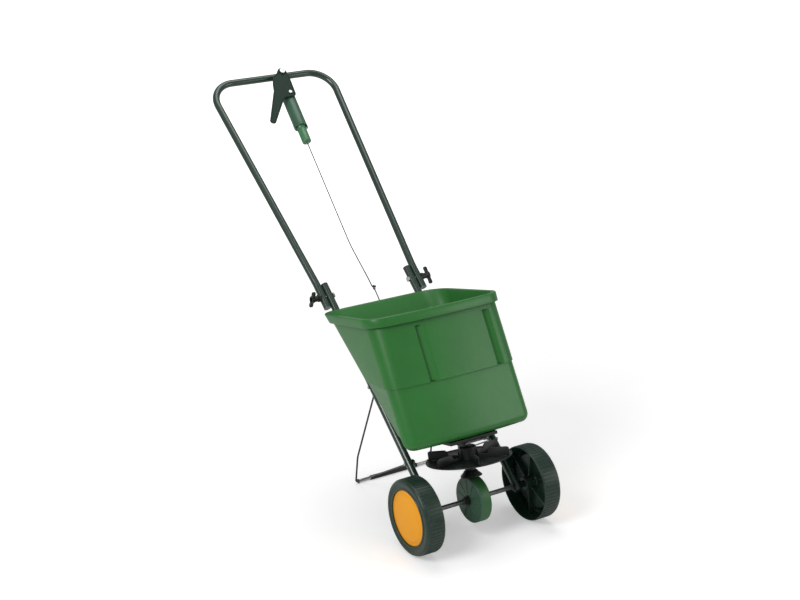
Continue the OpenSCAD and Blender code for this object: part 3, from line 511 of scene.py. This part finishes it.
def cut_from(obj, cutter_bm):
    """Takes a solid out of a piece, with the result applied."""
    mesh = bpy.data.meshes.new("cutter")
    bmesh.ops.recalc_face_normals(cutter_bm, faces=cutter_bm.faces)
    cutter_bm.to_mesh(mesh)
    cutter_bm.free()
    cutter = bpy.data.objects.new("cutter", mesh)
    bpy.context.scene.collection.objects.link(cutter)
    cut = obj.modifiers.new("cut", "BOOLEAN")
    cut.operation, cut.object, cut.solver = "DIFFERENCE", cutter, "EXACT"
    graph = bpy.context.evaluated_depsgraph_get()
    result = bpy.data.meshes.new_from_object(obj.evaluated_get(graph), depsgraph=graph)
    obj.modifiers.clear()
    obj.data = result
    bpy.data.objects.remove(cutter)
    bpy.data.meshes.remove(mesh)


# ---- tubes and rods -----------------------------------------------------------------------
class SPREADER_OT_tubes(bpy.types.Operator):
    """Builds the bent handle tube, the stand's struts and the control rod"""
    bl_idname = "spreader.tubes"
    bl_label = "Handle and rods"

    def execute(self, context):
        length, half, side, foot, splay = HANDLE_LEN, 195, 149.8, FOLD_S - 35, FOLD_S + 43
        route = [(-side, 0, foot), (-side, 0, splay), (-half, 0, length), (half, 0, length), (side, 0, splay),
                 (side, 0, foot)]
        bends = [120, 70, 70, 120]
        handle = bent_rod("handle", LEG, route, bends, 10, 12, 3)
        piece("handle_tube", handle, "handle", "tube", "upper_handle")
        rod_top, bend = LINK - Vector((0.7, 0, 12)), Vector((-1, 0, length - 600))
        hook = [rod_top, bend, (3.5, 0, FOLD_S + 28), (3.5, 0, FOLD_S), (14, 0, FOLD_S)]
        rod = bent_rod("rod", LEG, hook, [420, 30, 3], 1.5, 6, 2)
        collar = bmesh.new()
        bmesh.ops.create_cone(collar, cap_ends=True, segments=24, radius1=2.5, radius2=2.5, depth=1.5,
                              matrix=at(LEG, (13.2, 0, FOLD_S)) @ QUARTER_Y)
        join(rod, collar)
        piece("control_wire", rod, "rate_barrel", "wire", "control_rod")
        for name, sign in (("right", 1), ("left", -1)):
            self.strut(name, sign)
        return {"FINISHED"}

    def strut(self, name, sign):
        """One black wire from the foot bar up to its eye on the leg."""
        low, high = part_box("stand_strut_" + name)
        foot = Vector((0, AXLE.y / MM + 404, 6.25))
        top = LEG @ (Vector(EYE_AT) * MM) / MM
        knee = Vector((119.5, foot.y, foot.z))
        bow = Vector(((knee.x + top.x) / 2 + 1, foot.y - 12, foot.z + 79))
        end = top + (bow - top).normalized() * 6
        route = [Vector((102, foot.y, foot.z)), knee, bow, end]
        rod = bent_rod("strut", Matrix(), route, [5, 60], 2.5, 6, 5)
        eye = lathe([(2.8, -2), (6.4, -2), (7, -1.4), (7, 1.4), (6.4, 2), (2.8, 2)], 32)
        eye.transform(at(LEG, EYE_AT) @ QUARTER_Y)
        join(rod, eye)
        piece("strut_" + name, mirrored(rod, sign), "frame", "wire", "stand_strut_" + name, merge=False)


# ---- wheels -------------------------------------------------------------------------------
HUB_R, BORE_R, RECESS_R, WHEEL_IN, WHEEL_OUT = 17, 6, 72, 150, 202


def wheel_profile():
    """Half section, (radius, place along the axle): hub, web, recess wall, face ring, shoulder, tread, rim skirt."""
    r = WHEEL_R - 2.4
    out = [(BORE_R, WHEEL_IN + 2), (HUB_R - 1, WHEEL_IN + 2), (HUB_R, WHEEL_IN + 3), (HUB_R + 0.6, WHEEL_OUT - 22),
           (HUB_R + 2, WHEEL_OUT - 20), (RECESS_R - 1, WHEEL_OUT - 20), (RECESS_R + 3, WHEEL_OUT - 16),
           (RECESS_R + 3, WHEEL_OUT - 4.5), (RECESS_R + 4, WHEEL_OUT - 3.6), (WHEEL_R - 10, WHEEL_OUT - 3.6),
           (WHEEL_R - 6, WHEEL_OUT - 8), (WHEEL_R - 5, WHEEL_IN + 2), (WHEEL_R - 4.4, WHEEL_IN)]
    out += arc((r - 1.6, WHEEL_IN + 1.6), 1.6, -90, 0, 4)
    out += [(r, WHEEL_OUT - 9)] + arc((r - 8, WHEEL_OUT - 8), 8, 0, 80, 7)
    out += [(r - 12, WHEEL_OUT - 0.3), (r - 14, WHEEL_OUT - 1.4), (RECESS_R + 5, WHEEL_OUT - 1.4)]
    out += [(RECESS_R + 4, WHEEL_OUT - 0.2), (RECESS_R + 1, WHEEL_OUT - 0.2)]
    out += [(RECESS_R, WHEEL_OUT - 1.2), (RECESS_R, WHEEL_OUT - 16), (HUB_R, WHEEL_OUT - 16)]
    out += [(HUB_R, WHEEL_OUT - 14.5), (HUB_R - 1, WHEEL_OUT - 14), (BORE_R, WHEEL_OUT - 14)]
    return out


class SPREADER_OT_wheels(bpy.types.Operator):
    """Builds both wheels with ribbed treads, spokes and snap-in caps"""
    bl_idname = "spreader.wheels"
    bl_label = "Wheels"

    def execute(self, context):
        for name, body, sign in (("right", "axle", 1), ("left", "wheel_left", -1)):
            self.wheel(name, body, sign)
            self.cap(name, body, sign)
        return {"FINISHED"}

    def wheel(self, name, body, sign):
        bm = lathe(wheel_profile(), 144)
        spoke = [(WHEEL_IN + 16, HUB_R - 1), (WHEEL_IN + 22, WHEEL_R - 5), (WHEEL_OUT - 18.5, WHEEL_R - 5),
                 (WHEEL_OUT - 18.5, HUB_R - 1)]
        upright = Matrix(((0, 1, 0, 0), (0, 0, 1, 0), (1, 0, 0, 0), (0, 0, 0, 1)))
        for k in range(6):
            turn = spoke_turn(k, 6)
            add_prism(bm, spoke, -1.4, 1.4, 0.4, 1, turn @ upright)
        lugs, r = sizes().lugs, WHEEL_R - 3.2
        wide = math.pi * WHEEL_R / lugs * 0.5
        for k in range(lugs):
            turn = spoke_turn(k + 0.5, lugs)
            lug = [(WHEEL_IN + 3, r), (WHEEL_IN + 3.6, r + 1.9), (WHEEL_OUT - 13, r + 1.9), (WHEEL_OUT - 8, r + 1.5),
                   (WHEEL_OUT - 3.6, r - 2.6), (WHEEL_OUT - 4.6, r - 5)]
            add_prism(bm, lug, -wide, wide, 0.5, 1, turn @ upright)
        bm.transform(at(ROLL))
        piece("wheel_" + name + "_moulded", mirrored(bm, sign), body, "wheel", "wheel_" + name, merge=False)

    def cap(self, name, body, sign):
        r, face = RECESS_R - 0.2, WHEEL_OUT - 0.6
        profile = [(0, face), (r * 0.80, face), (r * 0.84, face - 0.5), (r * 0.87, face - 2.2), (r * 0.90, face - 2.8)]
        profile += arc((r - 1.6, face - 4.2), 1.6, 80, 0, 4) + [(r, face - 14), (r - 2.5, face - 14)]
        profile += [(r - 2.5, face - 5.4), (r * 0.85, face - 5), (r * 0.8, face - 2.8), (0, face - 2.8)]
        bm = lathe(profile, 128, closed=False)
        bmesh.ops.remove_doubles(bm, verts=bm.verts, dist=0.01)
        bm.transform(at(ROLL))
        piece("cap_" + name, mirrored(bm, sign), body, "cap", "wheel_cap_" + name)


# ---- spreading gear -----------------------------------------------------------------------
class SPREADER_OT_impeller(bpy.types.Operator):
    """Builds the spinning disc with its hub and fins"""
    bl_idname = "spreader.impeller"
    bl_label = "Impeller"

    def execute(self, context):
        low, high = 103, 130
        r, hub, top = 111, 22, 139
        profile = [(3.9, low - 4), (hub - 3, low - 4), (hub, low - 1), (hub + 2, low), (r - 12, low),
                   (r - 1, low + 2.0), (r, low + 3.4), (r - 0.6, low + 5), (r - 2.2, low + 5),
                   (r - 2.6, low + 3.8), (r - 13, low + 2.4), (hub + 6, low + 2.4), (hub + 1, low + 5),
                   (hub, top - 3), (hub - 2, top - 0.6), (hub - 4, top), (3.9, top)]
        bm = lathe(profile, 128)
        fin = [(hub - 1, low + 1.5), (r - 3.4, low + 3.2), (r - 3.4, high - 3), (r - 8, high), (r * 0.55, high),
               (r * 0.50, high - 4), (r * 0.47, low + 13), (hub - 1, low + 12)]
        upright = QUARTER_X
        for k in range(6):
            turn = spoke_turn(k, 6, math.radians(12))
            add_prism(bm, fin, -1.2, 1.2, 0.7, 2, turn @ upright)
            add_prism(bm, [(hub - 1, low + 12), (hub - 1, top - 4), (hub + 7, low + 12.5)], -1, 1, 0.4, 1,
                      turn @ upright)
        piece("impeller_disc", bm, "impeller", "black_plastic", "impeller", base=MACHINE, merge=False)
        return {"FINISHED"}


class SPREADER_OT_gearbox(bpy.types.Operator):
    """Builds the two halves of the gearbox with ribs and seam flange"""
    bl_idname = "spreader.gearbox"
    bl_label = "Gearbox"

    def execute(self, context):
        left, right = self.half(-1, 12.0, 6.7), self.half(1, -12.0, 26.1)
        neck = lathe([(6, 55), (12, 55), (12, 74), (6, 74)], 48)
        bmesh.ops.bisect_plane(neck, geom=neck.verts[:] + neck.edges[:] + neck.faces[:], plane_co=(-11.9, 0, 0),
                               plane_no=(1, 0, 0), clear_inner=True)
        join(right, neck)
        piece("casing_left", left, "frame", "gearbox_left", "gearbox_left", base=MACHINE, merge=False)
        piece("casing_right", right, "frame", "gearbox_right", "gearbox_right", base=MACHINE, merge=False)
        hood = [(8.9, 88), (8.9, 84)] + [(13, 80), (13.6, 77), (19, 71.5), (20, 69.5), (27.5, 62), (28, 60), (26, 60)]
        hood += [(18.4, 67.6), (12.6, 71), (12.2, 78), (6, 82), (6, 88)]
        bm = lathe(hood, 64)
        piece("hood_cone", bm, "frame", "black_plastic", "gearbox_hood", base=MACHINE)
        return {"FINISHED"}

    def half(self, sign, seam, depth):
        """One cup: an open dish with a rounded face, ribs on it and a flange at the seam."""
        r, hub = 60, 10.3
        face = seam + depth
        profile = [(r - 2.5, seam + 0.1), (r, seam + 0.1), (r, seam + depth - 4)]
        profile += arc((r - 4, face - 4), 4, 0, 90, 5)
        profile += [(hub + 8, face), (hub + 5, face + 0.9), (hub, face + 0.9), (hub, face - 2.5), (r - 5, face - 2.5),
                    (r - 2.5, face - 5)]
        bm = lathe(profile, 96)
        upright = Matrix(((1, 0, 0, 0), (0, 0, 1, 0), (0, 1, 0, 0), (0, 0, 0, 1)))
        rib = [(hub + 4, face - 1), (hub + 4, face + 1.1), (r - 8, face + 1.1), (r - 4.6, face - 1)]
        count = sizes().rib_count
        for k in range(count):
            add_prism(bm, rib, -1.1, 1.1, 0.4, 1, spoke_turn(k, count) @ upright)
        bm.transform(QUARTER_Y)
        return mirrored(bm, sign)


# ---- controls -----------------------------------------------------------------------------
class SPREADER_OT_controls(bpy.types.Operator):
    """Builds the lever, barrel, dial and wing knobs"""
    bl_idname = "spreader.controls"
    bl_label = "Controls"

    def execute(self, context):
        tilt = math.atan2(31, 524)
        rod = LEG @ Matrix.Translation(LINK * MM) @ Matrix.Rotation(tilt, 4, "Y")
        barrel = [(0, 9), (13, 9)] + arc((15, 5), 4, 90, 0, 6) + [(19, -104), (18.3, -105), (18.3, -107), (19, -108)]
        barrel += arc((17.6, -110.6), 1.4, 0, -90, 4) + [(16, -112), (16, -12), (0, -12)]
        bm = lathe(barrel, 96, closed=False)
        bmesh.ops.remove_doubles(bm, verts=bm.verts, dist=0.01)
        for sign in (-1, 1):
            clip = [(sign * 16.5, -100), (sign * 20.5, -101), (sign * 21.2, -108), (sign * 20.4, -117),
                    (sign * 16.5, -118.6), (sign * 15.6, -116.5), (sign * 18, -114), (sign * 18.2, -108)]
            add_prism(bm, clip, -3, 3, 0.5, 1, QUARTER_X)
        piece("barrel_shell", bm, "rate_barrel", "barrel", "rate_barrel", base=rod, merge=False)
        dial = [(1.9, -82), (12, -82), (13, -83), (13, -118), (12.4, -119), (13, -120)]
        dial += [(13, -160)] + arc((10, -163), 3, 0, -90, 4) + [(1.9, -166)]
        bm = lathe(dial, 96)
        for k in range(24):
            grip = [(12.6, -159), (13.05, -158), (13.05, -124), (12.6, -123)]
            add_prism(bm, grip, -0.5, 0.5, 0, 1, spoke_turn(k, 24) @ QUARTER_X)
        piece("dial_knob", bm, "rate_dial", "dial", "rate_dial", base=rod, merge=False)
        self.lever()
        for name, sign, turn in (("right", 1, 8), ("left", -1, 75)):
            self.knob(name, sign, math.radians(turn))
        return {"FINISHED"}

    def lever(self):
        """A steel pressing: flat face sunk inside its rim, with rolled edges."""
        tip, thick, sunk = Vector((-97, -166)), 5, 1.3
        outline = arc((0, 0), 13, 0, 180, 16) + [(-35, -14), (-46, -40), (-52, -62)]
        outline += arc(tip, 9.5, 165, 340, 12) + [(-42, -108), (-36, -98), (-26, -92), (1, -92), (7, -89), (9.5, -84),
                                                  (15, -22)]
        bm = bmesh.new()
        face = bm.faces.new([bm.verts.new((x, y, 0)) for x, y in outline])
        grown = bmesh.ops.extrude_face_region(bm, geom=[face])
        top = [v for v in grown["geom"] if isinstance(v, bmesh.types.BMVert)]
        bmesh.ops.translate(bm, verts=top, vec=(0, 0, thick))
        front = next(f for f in grown["geom"] if isinstance(f, bmesh.types.BMFace))
        bmesh.ops.recalc_face_normals(bm, faces=bm.faces)
        bmesh.ops.inset_region(bm, faces=[front], thickness=3.0, use_even_offset=True)
        bmesh.ops.inset_region(bm, faces=[front], thickness=1.2, depth=-sunk, use_even_offset=True)
        rims = [e for e in bm.edges if e.calc_face_angle(0.0) > math.radians(60)]
        bmesh.ops.bevel(bm, geom=rims, offset=1.1, segments=3, profile=0.5, affect="EDGES", material=-1,
                        clamp_overlap=True)
        back = -19.5
        place = at(LEG, (PIVOT.x, back, HANDLE_LEN)) @ QUARTER_X
        for centre, radius in (((0, 0), 9.5), ((LINK.x - PIVOT.x, LINK.z - PIVOT.z), 7.5)):
            boss = lathe([(0, thick - 1.6), (radius, thick - 1.6), (radius - 0.8, thick - 0.3), (0, thick - 0.3)],
                         40, False)
            boss.transform(Matrix.Translation((*centre, 0)))
            join(bm, boss)
        bm.transform(place)
        piece("lever_pressing", bm, "lever", "lever", "hand_lever", merge=False)

    def knob(self, name, sign, turn):
        """Round boss with a two-winged grip."""
        reach, inner = 21, 164.1
        wing = arc((reach, 0), 5, -90, 90, 8) + [(10, 4.0), (7, 7)] + [(-7, 7), (-10, 4.0)]
        wing += arc((-reach, 0), 5, 90, 270, 8) + [(-10, -4.0), (-7, -7), (7, -7), (10, -4.0)]
        bm = lathe([(0, 0), (7.4, 0), (8, 0.6), (8, 11), (9.4, 13), (9.4, 20), (8, 21), (0, 21)], 40, False)
        add_prism(bm, wing, 12, 21, 2.0, 3)
        bm.transform(at(LEG, (inner, 0, FOLD_S)) @ Matrix.Rotation(turn, 4, "X") @ QUARTER_Y)
        piece("wing_" + name, mirrored(bm, sign), "wing_knob_" + name, "black_plastic", "wing_knob_" + name,
              merge=False)


class SPREADER_OT_finishes(bpy.types.Operator):
    """Gives each carried-over node the material of its slot"""
    bl_idname = "spreader.finishes"
    bl_label = "Finishes"

    SLOTS = {
        "lower_leg_left": "tube", "lower_leg_right": "tube", "upper_handle": "tube", "pivot_saddle": "tube",
        "hand_lever": "lever", "gearbox_left": "gearbox_left", "gearbox_right": "gearbox_right",
        "hopper_bolts": "steel", "fold_bolt_left": "steel", "fold_bolt_right": "steel", "stand_bolts": "steel",
        "foot_bar": "steel", "pivot_bolt": "steel", "barrel_pin": "steel", "drive_pin": "steel", "gear_pin": "steel",
        "impeller_pin": "steel", "axle_clips": "steel", "rod_collar": "steel", "crank_pin": "steel",
        "axle": "dark_steel", "drive_shaft": "dark_steel", "stand_brace_left": "dark_steel",
        "stand_brace_right": "dark_steel", "link_rod": "wire", "shutter_crank": "dark_steel",
        "shutter_plate": "dark_steel", "crown_gear": "gear", "pinion": "gear",
    }

    def execute(self, context):
        made = finishes()
        for name, node in frame["nodes"].items():
            material = made[self.SLOTS.get(name, "black_plastic")]
            for slot in node.material_slots:
                slot.material = material
        return {"FINISHED"}


# ---- stage --------------------------------------------------------------------------------
class SPREADER_OT_stage(bpy.types.Operator):
    """Sets the camera, the floor and soft studio light"""
    bl_idname = "spreader.stage"
    bl_label = "Stage"

    EYE = (-1.983, -3.458, 1.961)
    BACK = (-0.4810, -0.8047, 0.3479)
    RIGHT = (0.8559, -0.5169, -0.0123)
    LENS = 70.52
    LAMPS = (("key", (-3.0, -1.2, 3.0), 1.6, 70), ("fill", (2.8, -3.0, 1.6), 2.0, 26),
             ("top", (0.4, 0.6, 3.6), 2.2, 36))

    def execute(self, context):
        scene = context.scene
        scene.view_settings.view_transform = "Standard"
        back, right = Vector(self.BACK).normalized(), Vector(self.RIGHT).normalized()
        axes = Matrix((right, back.cross(right), back)).transposed().to_4x4()
        lens = bpy.data.cameras.new("camera")
        lens.lens = self.LENS
        camera = bpy.data.objects.new("camera", lens)
        camera.matrix_world = Matrix.Translation(self.EYE) @ axes
        scene.collection.objects.link(camera)
        scene.camera = camera
        for name, place, size, watts in self.LAMPS:
            light = bpy.data.lights.new(name, "AREA")
            light.size, light.energy = size, watts
            lamp = bpy.data.objects.new(name, light)
            lamp.location = place
            lamp.rotation_euler = (Vector((0, 0, 0.5)) - Vector(place)).to_track_quat("-Z", "Y").to_euler()
            scene.collection.objects.link(lamp)
        self.world(scene)
        self.floor()
        return {"FINISHED"}

    def world(self, scene):
        """Dim grey light on the object; the eye, gloss and glass see a white room."""
        world = bpy.data.worlds.new("studio")
        world.use_nodes = True
        scene.world = world
        tree = world.node_tree
        sky = next(n for n in tree.nodes if n.type == "BACKGROUND")
        sky.inputs["Color"].default_value = (1, 1, 1, 1)
        path = tree.nodes.new("ShaderNodeLightPath")
        near = tree.nodes.new("ShaderNodeMath")
        near.operation = "MAXIMUM"
        tree.links.new(path.outputs["Is Camera Ray"], near.inputs[0])
        tree.links.new(path.outputs["Is Transmission Ray"], near.inputs[1])
        strength = tree.nodes.new("ShaderNodeMapRange")
        strength.inputs["To Min"].default_value, strength.inputs["To Max"].default_value = 0.34, 1.0
        tree.links.new(near.outputs[0], strength.inputs["Value"])
        tree.links.new(strength.outputs[0], sky.inputs["Strength"])

    def floor(self):
        bm = bmesh.new()
        bmesh.ops.create_grid(bm, x_segments=2, y_segments=2, size=sizes().floor_size / 2)
        mesh = bpy.data.meshes.new("floor")
        bm.to_mesh(mesh)
        bm.free()
        floor = bpy.data.objects.new("floor", mesh)
        bpy.context.scene.collection.objects.link(floor)
        f = Finish("pale_floor")
        tone = f.noise(3.0, 3.0).ease(0.3, 0.7)
        # Painted light: to the camera the floor glows, dimly near the machine and white farther out.
        reach = f.node("ShaderNodeVectorMath", {"operation": "LENGTH"}, {0: f.place}, "Value")
        far = reach.ease(0.9, 2.6)
        pale = f.mix(tone, (0.86, 0.86, 0.86, 1), (0.88, 0.88, 0.875, 1))
        f.set(Base_Color=pale, Roughness=0.65)
        paths = f.tree.nodes.new("ShaderNodeLightPath")
        seen = Value(f, paths.outputs["Is Camera Ray"]) + Value(f, paths.outputs["Is Transmission Ray"])
        glow = f.mix(far, (0.36, 0.36, 0.36, 1), (1, 1, 1, 1))
        f.set(Emission_Color=f.mix(seen, (0, 0, 0, 1), glow))
        f.shader.inputs["Emission Strength"].default_value = 1.0
        mesh.materials.append(f.material)


# ---- panel, registration and run ------------------------------------------------------------
OPERATORS = (SPREADER_OT_stage, SPREADER_OT_finishes, SPREADER_OT_hopper, SPREADER_OT_tubes, SPREADER_OT_wheels,
             SPREADER_OT_impeller, SPREADER_OT_gearbox, SPREADER_OT_controls)


class SPREADER_PT_panel(bpy.types.Panel):
    """Lists the sizes, colours and builders"""
    bl_idname = "SPREADER_PT_panel"
    bl_label = "Garden spreader"
    bl_space_type = "VIEW_3D"
    bl_region_type = "UI"
    bl_category = "Spreader"

    def draw(self, context):
        for group in (context.scene.spreader_sizes, context.scene.spreader_colours):
            for name in group.bl_rna.properties.keys():
                if name not in ("rna_type", "name"):
                    self.layout.prop(group, name)
        for operator in OPERATORS:
            self.layout.operator(operator.bl_idname)


CLASSES = (SpreaderSizes, SpreaderColours, *OPERATORS, SPREADER_PT_panel)


def register():
    for cls in CLASSES:
        bpy.utils.register_class(cls)
    bpy.types.Scene.spreader_sizes = PointerProperty(type=SpreaderSizes)
    bpy.types.Scene.spreader_colours = PointerProperty(type=SpreaderColours)


def unregister():
    del bpy.types.Scene.spreader_colours
    del bpy.types.Scene.spreader_sizes
    for cls in reversed(CLASSES):
        bpy.utils.unregister_class(cls)


def main():
    register()
    for operator in OPERATORS:
        group, name = operator.bl_idname.split(".")
        getattr(getattr(bpy.ops, group), name)()


if __name__ == "__main__":
    main()
